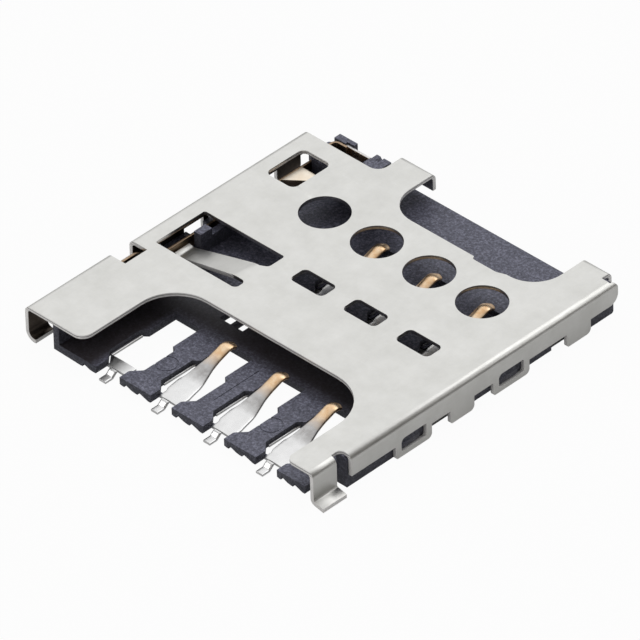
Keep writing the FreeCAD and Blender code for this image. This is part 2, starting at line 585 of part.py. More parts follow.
def housing_rails():
    """Right card rail with its lugs, and the left guide wall."""
    shoulder = BEND - SHEET + SIDE_GAP
    section = outline([(SLOT_RIGHT, FLOOR_BOTTOM), (RAIL_RIGHT, FLOOR_BOTTOM), (RAIL_RIGHT, SHELL_UNDER - shoulder),
                       (RAIL_RIGHT - shoulder, SHELL_UNDER), (SLOT_RIGHT, SHELL_UNDER)])
    rail = across_y(section, RAIL_FRONT, RAIL_END)
    guide = block(CHANNEL, SLOT_LEFT, LEFT_BLOCK_FRONT, GUIDE_HIGH_END, FLOOR_BOTTOM, SHELL_UNDER)
    guide_low = block(CHANNEL, SLOT_LEFT, GUIDE_HIGH_END, GUIDE_END, FLOOR_BOTTOM, GUIDE_LOW_TOP)
    guide_low = guide_low.cut(block(0, SLOT_LEFT + 1, GUIDE_GAP[0], GUIDE_GAP[1], FLOOR_TOP, SHELL_TOP))
    boss = block(CHANNEL - 0.06, SLOT_LEFT, GUIDE_BOSS[0], GUIDE_BOSS[1], FLOOR_BOTTOM, SHELL_UNDER)
    return [rail, guide, guide_low, boss] + [loop_lug(*loop) for loop in LOOPS]


def root_block():
    """Block that clamps the front end of the switch spring."""
    body = block(CHANNEL_LEFT, CHANNEL + 0.1, ROOT_BLOCK[0], ROOT_BLOCK[1], FLOOR_BOTTOM, SHELL_UNDER - 0.06)
    gap = SPRING_THICKNESS / 2 + ROOT_GAP
    clamp = block(SPRING_ROOT_X - gap, SPRING_ROOT_X + gap, SPRING_ROOT_FRONT - ROOT_GAP, ROOT_BLOCK[1] + 1,
                  0, SHELL_TOP)
    foot_front = foot_middle_y() - SPRING_FOOT_WIDTH / 2 - 2 * ROOT_GAP
    pocket = block(0, SPRING_ROOT_X + 0.2, foot_front, foot_front + SPRING_FOOT_WIDTH + 4 * ROOT_GAP, 0, FLOOR_TOP)
    return body, clamp.fuse(pocket)


def rear_block():
    """Block at the left rear with the slot in which the switch closes."""
    body = block(SWITCH_BLOCK_LEFT, SWITCH_BLOCK_RIGHT, SWITCH_BLOCK_FRONT, SWITCH_BLOCK_REAR, FLOOR_BOTTOM,
                 SWITCH_BLOCK_TOP)
    slot = block(0, TERMINAL_RIGHT + TERMINAL_GAP, SWITCH_SLOT[0], SWITCH_SLOT[1], FLOOR_TOP, SHELL_TOP)
    approach = block(0, SPRING_REAR_X + 0.12, SWITCH_BLOCK_FRONT - 1, SWITCH_SLOT[1], FLOOR_TOP, SHELL_TOP)
    rear = SWITCH_BLOCK_REAR + 1
    saddle = block(SADDLE[0], SADDLE[1], SWITCH_SLOT[1], rear, SWITCH_BLOCK_TOP - SADDLE_DEPTH, SHELL_TOP)
    middle, half = CLEFT
    vee = outline([(middle, SWITCH_BLOCK_TOP - 1.2 * half), (middle + half, SWITCH_BLOCK_TOP),
                   (middle + half, SHELL_TOP), (middle - half, SHELL_TOP), (middle - half, SWITCH_BLOCK_TOP)])
    return body.cut([slot, approach, saddle, across_y(vee, SWITCH_SLOT[1], rear)])


def floor_marks():
    """Shallow ring grooves of the ejector pins and a parting groove on the floor."""
    low = FLOOR_TOP - MARK_DEPTH
    marks = []
    for x, y in EJECTOR_MARKS:
        base = FreeCAD.Vector(x, y, low)
        outer = Part.makeCylinder(EJECTOR_DIAMETER / 2, 1, base)
        marks.append(outer.cut(Part.makeCylinder(EJECTOR_DIAMETER / 2 - MARK_WIDTH, 1, base)))
    marks.append(block(GROOVE_X, GROOVE_X + MARK_WIDTH, GROOVE[0], GROOVE[1], low, FLOOR_TOP + 1))
    return marks


def make_housing():
    """Black moulding that carries the contacts and guides the card."""
    root, clamp = root_block()
    housing = housing_floor().cut(floor_marks())
    housing = housing.fuse(housing_pads() + housing_rails() + rear_webs() + [root, rear_block()])
    notches = [block(SLOT_RIGHT + 0.05, SHELL_WIDTH, front, end, 0, SKIRT) for front, end in RAIL_NOTCHES]
    return housing.cut(notches + [clamp, terminal_pocket()]).removeSplitter()


def contact_plan():
    """Plan of one card contact about its column: plate, taper and slim beam."""
    plate_left = WINDOW_LEFT_FRONT + PLATE_SIDE_GAP
    plate_right = WINDOW_RIGHT_FRONT - PLATE_SIDE_GAP
    beam_left = BEAM_MIDDLE - BEAM_WIDTH / 2
    beam_right = BEAM_MIDDLE + BEAM_WIDTH / 2
    tail = TAIL_WIDTH / 2
    return outline([
        (-tail, 0, 0.1), (tail, 0, 0.1), (tail, PLATE_FRONT), (plate_right, PLATE_FRONT, 0.06),
        (plate_right, TAPER_Y[0], 0.5), (beam_right, TAPER_Y[1], 0.8),
        (beam_right, BEAM_END_Y, 0.08), (beam_left, BEAM_END_Y, 0.08), (beam_left, BEAM_NECK_Y, 0.5),
        (PLATE_LEFT, BEAM_START_Y - 0.2, 0.15), (PLATE_NECK_LEFT, PLATE_NECK_Y + 0.1), (plate_left, PLATE_NECK_Y),
        (plate_left, PLATE_FRONT), (-tail, PLATE_FRONT)])


def tail_places():
    """First places of the side view of every strip with a solder tail: tail, joggle and plate height."""
    tail_z = TAIL_LIFT + STRIP / 2
    plate_z = PLATE_TOP - STRIP / 2
    return [(0, tail_z), (JOGGLE[0], tail_z, 0.1), (JOGGLE[1], plate_z, 0.1)]


def make_contact(column, row_y):
    """Sprung card contact: tail on the board, plate, rising beam and rounded crest."""
    middle = STRIP / 2
    side = band(tail_places() + [
        (BEAM_START_Y, PLATE_TOP - middle, 0.9), (RISE_Y, RISE_Z, RISE_RADIUS),
        (CREST_Y, CREST_TOP - middle + 0.03, CREST_RADIUS), (BEAM_END_Y, BEAM_END_TOP - middle)], STRIP)
    solid = across_x(side, -PITCH / 2, PITCH / 2).common(stand(contact_plan(), -1, SHELL_TOP))
    solid.translate(FreeCAD.Vector(column_x(column), row_y, 0))
    return solid


def make_front_terminal():
    """Terminal of the first column: tail, short plate and a runner along the left block."""
    plate_left = WINDOW_LEFT_FRONT + PLATE_SIDE_GAP
    plate_right = WINDOW_RIGHT_FRONT - PLATE_SIDE_GAP
    runner_left = WINDOW_LEFT_MIDDLE + PLATE_SIDE_GAP
    tail = TAIL_WIDTH / 2
    side = band(tail_places() + [(RUNNER_REAR, PLATE_TOP - STRIP / 2)], STRIP)
    plan = outline([
        (-tail, 0, 0.1), (tail, 0, 0.1), (tail, PLATE_FRONT), (plate_right, PLATE_FRONT, 0.06),
        (plate_right, SHORT_PLATE_REAR), (runner_left + RUNNER_WIDTH, SHORT_PLATE_REAR),
        (runner_left + RUNNER_WIDTH, RUNNER_REAR), (runner_left, RUNNER_REAR),
        (runner_left, WINDOW_SHOULDER_REAR + PLATE_SIDE_GAP), (plate_left, WINDOW_SHOULDER_FRONT),
        (plate_left, PLATE_FRONT), (-tail, PLATE_FRONT)])
    solid = across_x(side, -PITCH / 2, PITCH / 2).common(stand(plan, -1, SHELL_TOP))
    solid.translate(FreeCAD.Vector(column_x(0), 0, 0))
    return solid


def foot_middle_y():
    return (SPRING_ROOT_FRONT + ROOT_BLOCK[1]) / 2


def switch_flag():
    """Flag of the switch spring, with a lip bent down along its slanting front edge."""
    left = SPRING_REAR_X - 0.02
    rear = FLAG_FRONT + FLAG_DEPTH
    plate = outline([(left, FLAG_FRONT), (FLAG_RIGHT, FLAG_FRONT + FLAG_CHAMFER), (FLAG_RIGHT, rear, 0.05), (left, rear)])
    lip = outline([(left, FLAG_FRONT), (FLAG_RIGHT, FLAG_FRONT + FLAG_CHAMFER),
                   (FLAG_RIGHT, FLAG_FRONT + FLAG_CHAMFER + SPRING_THICKNESS * 1.3),
                   (left, FLAG_FRONT + SPRING_THICKNESS * 1.3)])
    return [stand(plate, FLAG_TOP - SPRING_THICKNESS, FLAG_TOP), stand(lip, FLAG_TOP - FLAG_LIP, FLAG_TOP)]


def make_switch_spring():
    """Bronze spring on edge along the left wall, with a flag that the card pushes aside."""
    half = SPRING_THICKNESS / 2
    path = band([
        (SPRING_ROOT_X, SPRING_ROOT_FRONT), (SPRING_ROOT_X, SPRING_JOG[0], 0.4), (SPRING_BEAM_X, SPRING_JOG[1], 0.4),
        (SPRING_REAR_X, SWITCH_BLOCK_FRONT, 0.5), (SPRING_REAR_X, SPRING_CURL_Y, 0.2),
        (SPRING_END_X, SPRING_CURL_Y)], SPRING_THICKNESS)
    strip = stand(path, SPRING_BOTTOM, SPRING_TOP)
    slope = outline([(SPRING_JOG[0], SPRING_TOP), (SPRING_JOG[1], FLAG_TOP), (SPRING_CURL_Y - 0.6, FLAG_TOP),
                     (SPRING_CURL_Y - 0.3, SPRING_TOP), (SPRING_CURL_Y - 0.3, SHELL_TOP), (SPRING_JOG[0], SHELL_TOP)])
    strip = strip.cut(across_x(slope, 0, SPRING_END_X))
    foot_z = TAIL_LIFT + half
    foot = band([(SPRING_ROOT_X, SPRING_BOTTOM + 0.1), (SPRING_ROOT_X, foot_z, 0.12), (CHANNEL_LEFT + 0.02, foot_z)],
                SPRING_THICKNESS)
    foot = across_y(foot, foot_middle_y() - SPRING_FOOT_WIDTH / 2, foot_middle_y() + SPRING_FOOT_WIDTH / 2)
    return strip.fuse(switch_flag() + [foot]).removeSplitter()


def terminal_foot_left():
    return (TERMINAL_LEFT + TERMINAL_RIGHT - TERMINAL_FOOT_WIDTH) / 2


def terminal_pocket():
    """Pocket of the rear block that holds the fixed switch terminal."""
    gap = TERMINAL_GAP
    low = SWITCH_SLOT[1] - gap
    wall = block(TERMINAL_LEFT - gap, TERMINAL_RIGHT + gap, low, low + STRIP + 2 * gap, TERMINAL_BOTTOM - gap, SHELL_TOP)
    left = terminal_foot_left() - gap
    foot = block(left, left + TERMINAL_FOOT_WIDTH + 2 * gap, low, HOUSING_REAR + 1, -1, TERMINAL_BOTTOM + 0.1)
    return wall.fuse(foot)


def make_switch_terminal():
    """Fixed terminal of the switch, on edge in the rear block, with a foot to the board."""
    middle = STRIP / 2
    low = SWITCH_SLOT[1]
    plate = block(TERMINAL_LEFT, TERMINAL_RIGHT, low, low + STRIP, TERMINAL_BOTTOM, TERMINAL_TOP)
    tail_z = TAIL_LIFT + middle
    foot = band([(low + middle, TERMINAL_BOTTOM + 0.1), (low + middle, tail_z, 0.12), (HOUSING_REAR, tail_z)], STRIP)
    foot = across_x(foot, terminal_foot_left(), terminal_foot_left() + TERMINAL_FOOT_WIDTH)
    return plate.fuse(foot).removeSplitter()


def to_base_middle(solid):
    """Move a solid from the drawing corner to the middle of the socket's base."""
    moved = solid.copy()
    moved.translate(FreeCAD.Vector(-RIGHT_FOOT_TIP / 2, -OVERALL_LENGTH / 2, 0))
    return moved


def main():
    nodes = {"housing": make_housing(), "shell": make_shell()}
    for column in range(1, COLUMNS):
        nodes["contact_front_%d" % column] = make_contact(column, 0)
        nodes["contact_rear_%d" % column] = make_contact(column, ROW_SPACING)
    nodes["front_terminal"] = make_front_terminal()
    nodes["switch_spring"] = make_switch_spring()
    nodes["switch_terminal"] = make_switch_terminal()
    for name, solid in nodes.items():
        placed = to_base_middle(solid)
        placed.exportStep("parts/%s.step" % name)
        box = placed.BoundBox
        print("%-18s solids %d valid %s volume %.3f  x %.3f..%.3f y %.3f..%.3f z %.3f..%.3f" % (
            name, len(placed.Solids), placed.isValid(), placed.Volume,
            box.XMin, box.XMax, box.YMin, box.YMax, box.ZMin, box.ZMax))


main()
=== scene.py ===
import math

import bmesh
import bpy
from mathutils import Matrix, Vector
from mathutils.bvhtree import BVHTree


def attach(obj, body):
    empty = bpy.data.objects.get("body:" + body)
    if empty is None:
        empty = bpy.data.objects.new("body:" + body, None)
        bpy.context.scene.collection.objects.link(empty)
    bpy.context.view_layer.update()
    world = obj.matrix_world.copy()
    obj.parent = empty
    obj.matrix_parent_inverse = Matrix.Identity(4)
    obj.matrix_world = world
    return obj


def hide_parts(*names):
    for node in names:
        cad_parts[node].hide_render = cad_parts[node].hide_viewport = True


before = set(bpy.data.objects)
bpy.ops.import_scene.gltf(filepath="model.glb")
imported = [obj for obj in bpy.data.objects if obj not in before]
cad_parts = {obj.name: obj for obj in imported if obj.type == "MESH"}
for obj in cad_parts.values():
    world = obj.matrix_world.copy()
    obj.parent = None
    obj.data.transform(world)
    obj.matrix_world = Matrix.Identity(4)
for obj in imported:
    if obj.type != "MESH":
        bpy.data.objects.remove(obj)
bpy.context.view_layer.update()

MM = 0.001

# Camera: direction and roll in degrees, focal length in pixels, distance and aim point in millimetres
CAMERA_AZIMUTH = 45.3329
CAMERA_ELEVATION = 37.5709
CAMERA_ROLL = -1.707
CAMERA_FOCAL = 10758.66
CAMERA_DISTANCE = 373.684
CAMERA_AIM = (0.253, -0.579, 0.7)
IMAGE_SIDE = 640
SENSOR = 36.0

# Points of a mesh that lie nearer to each other than this are one point, in millimetres
MERGE = 0.0004

# Thickness of the sheets, in millimetres
SHELL_SHEET = 0.15
STRIP_SHEET = 0.10
SPRING_SHEET = 0.09

# A face is a cut edge where the metal behind it is deeper than this many sheets and this slack. The probe
# starts a little under the face
CUT_SHEETS = 1.12
CUT_SLACK = 0.005
CUT_PROBE = 0.002

# Softened edges, in millimetres
SHELL_EDGE = 0.026
STRIP_EDGE = 0.012
HOUSING_EDGE = 0.018
EDGE_ANGLE = 38              # sharper turns than this are edges, in degrees

# Columns and rows of the contacts, in millimetres
COLUMNS = 4
FIRST_COLUMN = -3.46
PITCH = 2.54
FRONT_ROW = -7.58
ROW_SPACING = 7.62
ROWS = (("front", FRONT_ROW), ("rear", FRONT_ROW + ROW_SPACING))

# Gold at the contact tips, in millimetres from each row
GOLD_START = 2.75
GOLD_FULL = 3.30
ROW_MARGIN = 0.30            # keeps the tail's tip in its own row
GOLD_SCALE = 0.2             # brings places along a row between zero and one
GOLD_WANDER = 0.3            # how far the gold's border wanders

# Painted shade on the floor of the housing, where it passes into deep shade: places across and along, from
# open to dark
SHADE_LEFT = (-3.80, -4.25)
SHADE_BEHIND = (-3.80, -3.05)
SHADE_END = (-1.20, -1.60)
SHADE_DEPTH = 0.82
SHADE_TINT = (0.022, 0.015, 0.012)

# Front feet of the housing and the notches under them, in millimetres. A notch is an outline of places,
# each a share of the foot's width and a height. The left block's notch has real places across instead
FOOT_LEFT = 0.60             # from the contact's column
FOOT_WIDTH = 1.53
LAST_FOOT_RIGHT = 6.12
SOLE_FRONT = -7.50
SOLE_REAR = -6.74
SOLE_NOTCHES = (
    ((0.150, 0.00), (0.165, 0.21), (0.215, 0.21), (0.43, 0.085), (0.45, 0.00)),
    ((0.575, 0.00), (0.590, 0.21), (0.640, 0.21), (0.89, 0.085), (0.91, 0.00)))
LEFT_BLOCK_NOTCH = ((-4.545, 0.00), (-4.530, 0.22), (-4.470, 0.22), (-4.14, 0.10), (-4.12, 0.00))

# The left wall's inner side and its curled foot, which take painted shade: right end, and the top of the
# foot
LEFT_WALL_REACH = -6.70
LEFT_FOOT_TOP = 0.5

# Top sheet of the cover and the stretch along Y that holds its holes and windows, in millimetres
TOP_UNDER = 1.30
TOP_FACE = 1.45
HOLES_FRONT = -2.70
HOLES_REAR = 4.60
HOLES_SIDE = 6.90

# Surroundings: how far the bright dome leans to the rear left, its brightness from low to high with its
# warmth, and the low glow in front of the card entry
DOME_TILT = 0.60
DOME_SPAN = 0.75
DOME_TONES = ((0.0, 0.10, 0.06), (0.30, 0.20, 0.05), (0.70, 0.55, 0.0), (0.84, 0.95, 0.0), (1.0, 1.0, 0.0))
GLOW_AHEAD = ((0.25, 0.0), (0.75, 1.0))
GLOW_HEIGHT = ((0.0, 0.0), (0.04, 1.0), (0.28, 1.0), (0.40, 0.0))
GLOW_TINT = (1.0, 0.98, 0.95)
FRONT_GLOW = 1.7

# Floor: half its side in millimetres, how white it shows, and how much of that its mirror image keeps
FLOOR_HALF = 400
FLOOR_WHITE = 0.96
FLOOR_MIRRORED = 0.22

# Part of the floor that lies in the shade of the covered half: left, right, front, rear, in millimetres
FLOOR_SHADE = (-6.9, 6.62, -1.6, 7.3)

# Lamps: name, direction, distance and side in millimetres, power in watts
LAMPS = (
    ("softbox_rear", (-0.50, 0.55, 0.75), 300, 200, 0.012),
    ("softbox_camera", (0.55, -0.75, 0.60), 400, 300, 0.06),
    ("softbox_left", (-0.56, -0.61, 0.56), 400, 120, 0.13),
    ("softbox_right", (0.61, 0.56, 0.56), 400, 120, 0.04),
    ("softbox_key", (0.12, 0.70, 0.70), 400, 300, 0.26))

# Card contact about its column and row, in millimetres. The path's places have along, height and radius
PATH_STEP = 0.05
TAIL_HALF = 0.17
PLATE_FRONT = 0.57
TAIL_OVERLAP = 0.03
CONTACT_PATH = ((0.0, 0.07, 0), (0.34, 0.07, 0.1), (0.52, 0.23, 0.1), (1.95, 0.23, 0.9),
                (3.02, 0.72, 1.2), (3.62, 0.93, 0.45), (3.93, 0.79, 0))
CONTACT_LEFT = ((0.57, -0.38), (1.00, -0.38), (1.10, -0.46), (1.75, -0.54), (2.95, -0.26), (3.20, -0.25),
                (3.88, -0.25), (3.93, -0.17))
CONTACT_RIGHT = ((0.57, 0.53), (0.62, 0.57), (1.15, 0.57), (1.32, 0.52), (2.60, 0.25), (2.85, 0.23),
                 (3.88, 0.23), (3.93, 0.15))
EASING = 0.06                # the long edges' corners are softened over this length
FLAT_END = 1.70              # the strip is flat as far as this
BEAM_START = 1.90            # and its beam begins here
TERMINAL_REAR = 1.12
TERMINAL_LEFT = ((0.57, -0.38), (0.74, -0.38), (1.12, -0.70))
TERMINAL_RIGHT = ((0.57, 0.53), (0.62, 0.57), (1.12, 0.57))
TERMINAL_RUNNER = (-0.715, -0.60, 2.59)      # left, right and rear end
EDGE_ROUND = 0.034
ROUND_STEPS = 3              # parts of each rounded corner of a strip's section
FACE_STEPS = 8               # parts of its flat faces
CROWN = 0.022                # the strip's long edges lie lower than its middle by this much
BEAM_CROWN = 0.05            # and by this much near the tip
TAIL_CROWN = 0.006
TERMINAL_CROWN = 0.010
RUNNER_CROWN = 0.004
RUNNER = (-0.72, -0.65, 1.16, 2.74, 0.185, 0.275)    # left, right, front, rear, bottom, top


def material(name, metallic, roughness):
    """New material with its node tree and its shader."""
    made = bpy.data.materials.new(name)
    made.use_nodes = True
    shader = made.node_tree.nodes["Principled BSDF"]
    shader.inputs["Metallic"].default_value = metallic
    shader.inputs["Roughness"].default_value = roughness
    return made, made.node_tree, shader


def add(tree, kind, **settings):
    """New node with these settings."""
    node = tree.nodes.new(kind)
    for key, value in settings.items():
        setattr(node, key, value)
    return node


def place_coordinates(tree, stretch=(1, 1, 1)):
    """Object coordinates in millimetres, stretched for grain."""
    source = add(tree, "ShaderNodeTexCoord")
    mapping = add(tree, "ShaderNodeMapping")
    mapping.inputs["Scale"].default_value = [1 / MM * s for s in stretch]
    tree.links.new(source.outputs["Object"], mapping.inputs["Vector"])
    return mapping.outputs["Vector"]


def noise(tree, vector, scale, detail=3.0, rough=0.55):
    """Cloudy value between zero and one, about one half."""
    node = add(tree, "ShaderNodeTexNoise")
    node.inputs["Scale"].default_value = scale
    node.inputs["Detail"].default_value = detail
    node.inputs["Roughness"].default_value = rough
    tree.links.new(vector, node.inputs["Vector"])
    return node.outputs["Fac"]


def ramp(tree, fac, stops):
    """Colour that follows a value, from stops of place and colour."""
    node = add(tree, "ShaderNodeValToRGB")
    elements = node.color_ramp.elements
    while len(elements) < len(stops):
        elements.new(0.5)
    for element, (position, colour) in zip(elements, stops):
        element.position = position
        element.color = (*colour, 1)
    tree.links.new(fac, node.inputs["Fac"])
    return node.outputs["Color"]


def grey(value, warm=0.0):
    """Grey, with a little more red and less blue where it is warm."""
    return (value * (1 + warm), value, value * (1 - warm))


def bump(tree, shader, height, strength, distance):
    """Fine relief on a surface."""
    node = add(tree, "ShaderNodeBump")
    node.inputs["Strength"].default_value = strength
    node.inputs["Distance"].default_value = distance
    tree.links.new(height, node.inputs["Height"])
    tree.links.new(node.outputs["Normal"], shader.inputs["Normal"])


def math_node(tree, operation, *values):
    """Output of a math node whose inputs are sockets or numbers."""
    node = add(tree, "ShaderNodeMath", operation=operation)
    for socket, value in zip(node.inputs, values):
        if isinstance(value, (int, float)):
            socket.default_value = value
        else:
            tree.links.new(value, socket)
    return node.outputs[0]


def blend(tree, factor, first, second):
    """Colour between two colour sockets or plain colours."""
    mix = add(tree, "ShaderNodeMix", data_type="RGBA")
    tree.links.new(factor, mix.inputs["Factor"])
    for key, value in (("A", first), ("B", second)):
        if isinstance(value, tuple):
            mix.inputs[key].default_value = (*value, 1)
        else:
            tree.links.new(value, mix.inputs[key])
    return mix.outputs["Result"]


def axis_value(tree, vector, axis):
    """One part of a vector."""
    split = add(tree, "ShaderNodeSeparateXYZ")
    tree.links.new(vector, split.inputs[0])
    return split.outputs[axis]


def facing_up(tree, start, full):
    """Zero on walls, one on faces that look up."""
    geometry = add(tree, "ShaderNodeNewGeometry")
    up = axis_value(tree, geometry.outputs["Normal"], "Z")
    return ramp(tree, up, [(start, grey(0.0)), (full, grey(1.0))])


def rise(tree, value, start, end):
    """Zero up to the start, one from the end on, and even in between."""
    span = add(tree, "ShaderNodeMapRange")
    tree.links.new(value, span.inputs["Value"])
    span.inputs["From Min"].default_value = start
    span.inputs["From Max"].default_value = end
    return span.outputs["Result"]


def deep_shade(tree, place):
    """Mask of painted shade: one on the floor of the left block and behind the mouth's edge, zero in the
    open.
    """
    across = axis_value(tree, place, "X")
    along = axis_value(tree, place, "Y")
    left = rise(tree, across, *SHADE_LEFT)
    behind = rise(tree, along, *SHADE_BEHIND)
    before = rise(tree, along, *SHADE_END)
    return math_node(tree, "MULTIPLY", math_node(tree, "MAXIMUM", left, behind), before)


def steel_sheet():
    """Satin rolled sheet, with a soft cloudy tone, fine rolling grain and faint scuffs."""
    made, tree, shader = material("steel_sheet", 1.0, 0.36)
    clouds = noise(tree, place_coordinates(tree), 0.9, 6.0, 0.7)
    tint = ramp(tree, clouds, [(0.32, (0.632, 0.630, 0.606)), (0.68, (0.712, 0.710, 0.690))])
    scuffs = noise(tree, place_coordinates(tree, (0.8, 3.0, 2.0)), 1.1, 6.0, 0.75)
    worn = ramp(tree, scuffs, [(0.60, grey(0.0)), (0.72, grey(0.35))])
    tint = blend(tree, worn, tint, (0.76, 0.76, 0.75))
    tree.links.new(tint, shader.inputs["Base Color"])
    grain = noise(tree, place_coordinates(tree, (14, 1.4, 14)), 1.6, 5.0)
    rough = ramp(tree, grain, [(0.3, grey(0.30)), (0.7, grey(0.42))])
    tree.links.new(rough, shader.inputs["Roughness"])
    dimples = noise(tree, place_coordinates(tree), 2.2, 3.0)
    height = math_node(tree, "MULTIPLY_ADD", dimples, 1.6, grain)
    bump(tree, shader, height, 0.10, 0.002 * MM)
    return made


def steel_cut():
    """Punched edge: burnished bright metal; in the top sheet a dark band across the cut face's upper
    middle and a dark strip at its foot, painted shade and painted reflection, the strip partly the torn
    part of the cut.
    """
    made, tree, shader = material("steel_cut", 0.35, 0.45)
    streaks = noise(tree, place_coordinates(tree, (1, 1, 0.15)), 14.0, 3.0)
    tint = ramp(tree, streaks, [(0.25, grey(0.80, 0.01)), (0.75, grey(0.92, 0.01))])
    wander = noise(tree, place_coordinates(tree), 2.5, 2.0)
    height = axis_value(tree, place_coordinates(tree), "Z")
    height = math_node(tree, "MULTIPLY_ADD", wander, 0.02, height)
    above = math_node(tree, "SUBTRACT", height, TOP_UNDER + 0.01)
    level = math_node(tree, "DIVIDE", above, TOP_FACE - TOP_UNDER)
    # Painted shade under the rounded rim as a dark band across the upper middle, and a dark strip at the
    # foot, partly the torn part of the cut and partly painted reflection of the dark inside
    line = ramp(tree, level, [(0.0, grey(0.7)), (0.12, grey(0.0)), (0.44, grey(0.0)), (0.52, grey(0.85)),
                              (0.66, grey(0.85)), (0.74, grey(0.0))])
    in_top = math_node(tree, "GREATER_THAN", height, TOP_UNDER)
    tint = blend(tree, math_node(tree, "MULTIPLY", line, in_top), tint, (0.20, 0.20, 0.20))
    tree.links.new(tint, shader.inputs["Base Color"])
    bump(tree, shader, streaks, 0.2, 0.004 * MM)
    return made


def steel_bore_painted_shade():
    """Wall of a punched hole: smooth metal, coloured darker than the other cut edges as painted shade and
    painted reflection of the dark housing below.
    """
    made, tree, shader = material("steel_bore_painted_shade", 1.0, 0.30)
    streaks = noise(tree, place_coordinates(tree, (1, 1, 0.15)), 14.0, 3.0)
    # Painted shade: the hole walls' colour is darker than that of the other cut edges
    tint = ramp(tree, streaks, [(0.25, grey(0.46, 0.02)), (0.75, grey(0.60, 0.02))])
    tree.links.new(tint, shader.inputs["Base Color"])
    bump(tree, shader, streaks, 0.2, 0.004 * MM)
    return made


def steel_inside_painted_shade():
    """Inner side of the left wall: the same steel coloured dark brown, painted shade and painted
    reflection of the dark channel beside it.
    """
    made, tree, shader = material("steel_inside_painted_shade", 1.0, 0.42)
    clouds = noise(tree, place_coordinates(tree), 1.4, 3.0)
    # Painted shade: dark brown steel
    tint = ramp(tree, clouds, [(0.3, (0.085, 0.068, 0.055)), (0.7, (0.15, 0.125, 0.105))])
    tree.links.new(tint, shader.inputs["Base Color"])
    bump(tree, shader, clouds, 0.1, 0.002 * MM)
    return made


def moulded_black():
    """Fine-grained black moulding, with painted light and shade: its upper faces coloured lighter and its
    walls darker, as light from above falls on them.
    """
    made, tree, shader = material("moulded_black", 0.0, 0.5)
    vector = place_coordinates(tree)
    speckle = noise(tree, vector, 11.0, 2.0, 0.7)
    # Walls and upper faces take lit and shaded copies of one speckle: painted shade on the walls, painted
    # light on the tops
    wall = ramp(tree, speckle, [(0.3, (0.022, 0.022, 0.029)), (0.52, (0.050, 0.051, 0.067)),
                                (0.75, (0.120, 0.121, 0.150))])
    top = ramp(tree, speckle, [(0.3, (0.050, 0.050, 0.070)), (0.52, (0.118, 0.119, 0.163)),
                               (0.75, (0.272, 0.275, 0.358))])
    # Painted shade: the upper faces turn warm near-black on the left block's floor and behind the mouth's
    # edge
    shade = math_node(tree, "MULTIPLY", deep_shade(tree, vector), SHADE_DEPTH)
    top = blend(tree, shade, top, SHADE_TINT)
    tree.links.new(blend(tree, facing_up(tree, 0.55, 0.90), wall, top), shader.inputs["Base Color"])
    grain = noise(tree, vector, 18.0, 4.0, 0.7)
    rough = ramp(tree, grain, [(0.3, grey(0.40)), (0.7, grey(0.58))])
    tree.links.new(rough, shader.inputs["Roughness"])
    shader.inputs["Specular Tint"].default_value = (0.86, 0.90, 1.0, 1)
    bump(tree, shader, grain, 0.5, 0.006 * MM)
    return made


def contact_metal():
    """Plated strip: bright tin, passing into worn gold at the beam's tip, with a dark band of painted
    shade and painted reflection on the beam just before the gold.
    """
    made, tree, shader = material("contact_metal", 1.0, 0.27)
    vector = place_coordinates(tree)
    clouds = noise(tree, vector, 1.6, 3.0)
    silver = ramp(tree, clouds, [(0.3, grey(0.72)), (0.7, grey(0.80))])
    worn = noise(tree, vector, 5.0, 3.0)
    gold = ramp(tree, worn, [(0.3, (0.74, 0.46, 0.24)), (0.7, (0.92, 0.72, 0.50))])
    row_place = math_node(tree, "ADD", axis_value(tree, vector, "Y"), ROW_MARGIN - FRONT_ROW)
    place = math_node(tree, "FLOORED_MODULO", row_place, ROW_SPACING)
    wandered = math_node(tree, "MULTIPLY_ADD", worn, GOLD_WANDER, place)
    along = math_node(tree, "MULTIPLY", wandered, GOLD_SCALE)
    gold_start = (GOLD_START + ROW_MARGIN) * GOLD_SCALE
    gold_full = (GOLD_FULL + ROW_MARGIN) * GOLD_SCALE
    tip = ramp(tree, along, [(gold_start, grey(0)), (gold_full, grey(1))])
    # Painted shade and painted reflection: a mottled dark band across the beam just before the gold
    painted_dark_band = ramp(tree, along, [(gold_start - 0.15, grey(0)), (gold_start - 0.03, grey(0.62)),
                               (gold_full, grey(0.0))])
    painted_dark_band = math_node(tree, "MULTIPLY", painted_dark_band, ramp(tree, worn, [(0.35, grey(0.55)), (0.65, grey(1.0))]))
    plain = blend(tree, painted_dark_band, silver, (0.22, 0.20, 0.19))
    tree.links.new(blend(tree, tip, plain, gold), shader.inputs["Base Color"])
    grain = noise(tree, place_coordinates(tree, (3, 0.5, 3)), 1.6, 3.0)
    rough = ramp(tree, grain, [(0.3, grey(0.24)), (0.7, grey(0.34))])
    tree.links.new(rough, shader.inputs["Roughness"])
    bump(tree, shader, grain, 0.06, 0.002 * MM)
    return made


def spring_bronze():
    """Plain bronze strip, with painted light and shade: lighter where it looks up, dark brown on its
    sides.
    """
    made, tree, shader = material("spring_bronze", 1.0, 0.34)
    grain = noise(tree, place_coordinates(tree, (1, 1, 10)), 2.0, 4.0)
    # Lit and shaded copies of one bronze: painted light on faces that look up, painted shade on the sides
    flat = ramp(tree, grain, [(0.3, (0.78, 0.68, 0.55)), (0.7, (0.90, 0.83, 0.72))])
    side = ramp(tree, grain, [(0.3, (0.24, 0.17, 0.11)), (0.7, (0.40, 0.30, 0.21))])
    tree.links.new(blend(tree, facing_up(tree, 0.5, 0.9), side, flat), shader.inputs["Base Color"])
    bump(tree, shader, grain, 0.08, 0.002 * MM)
    return made


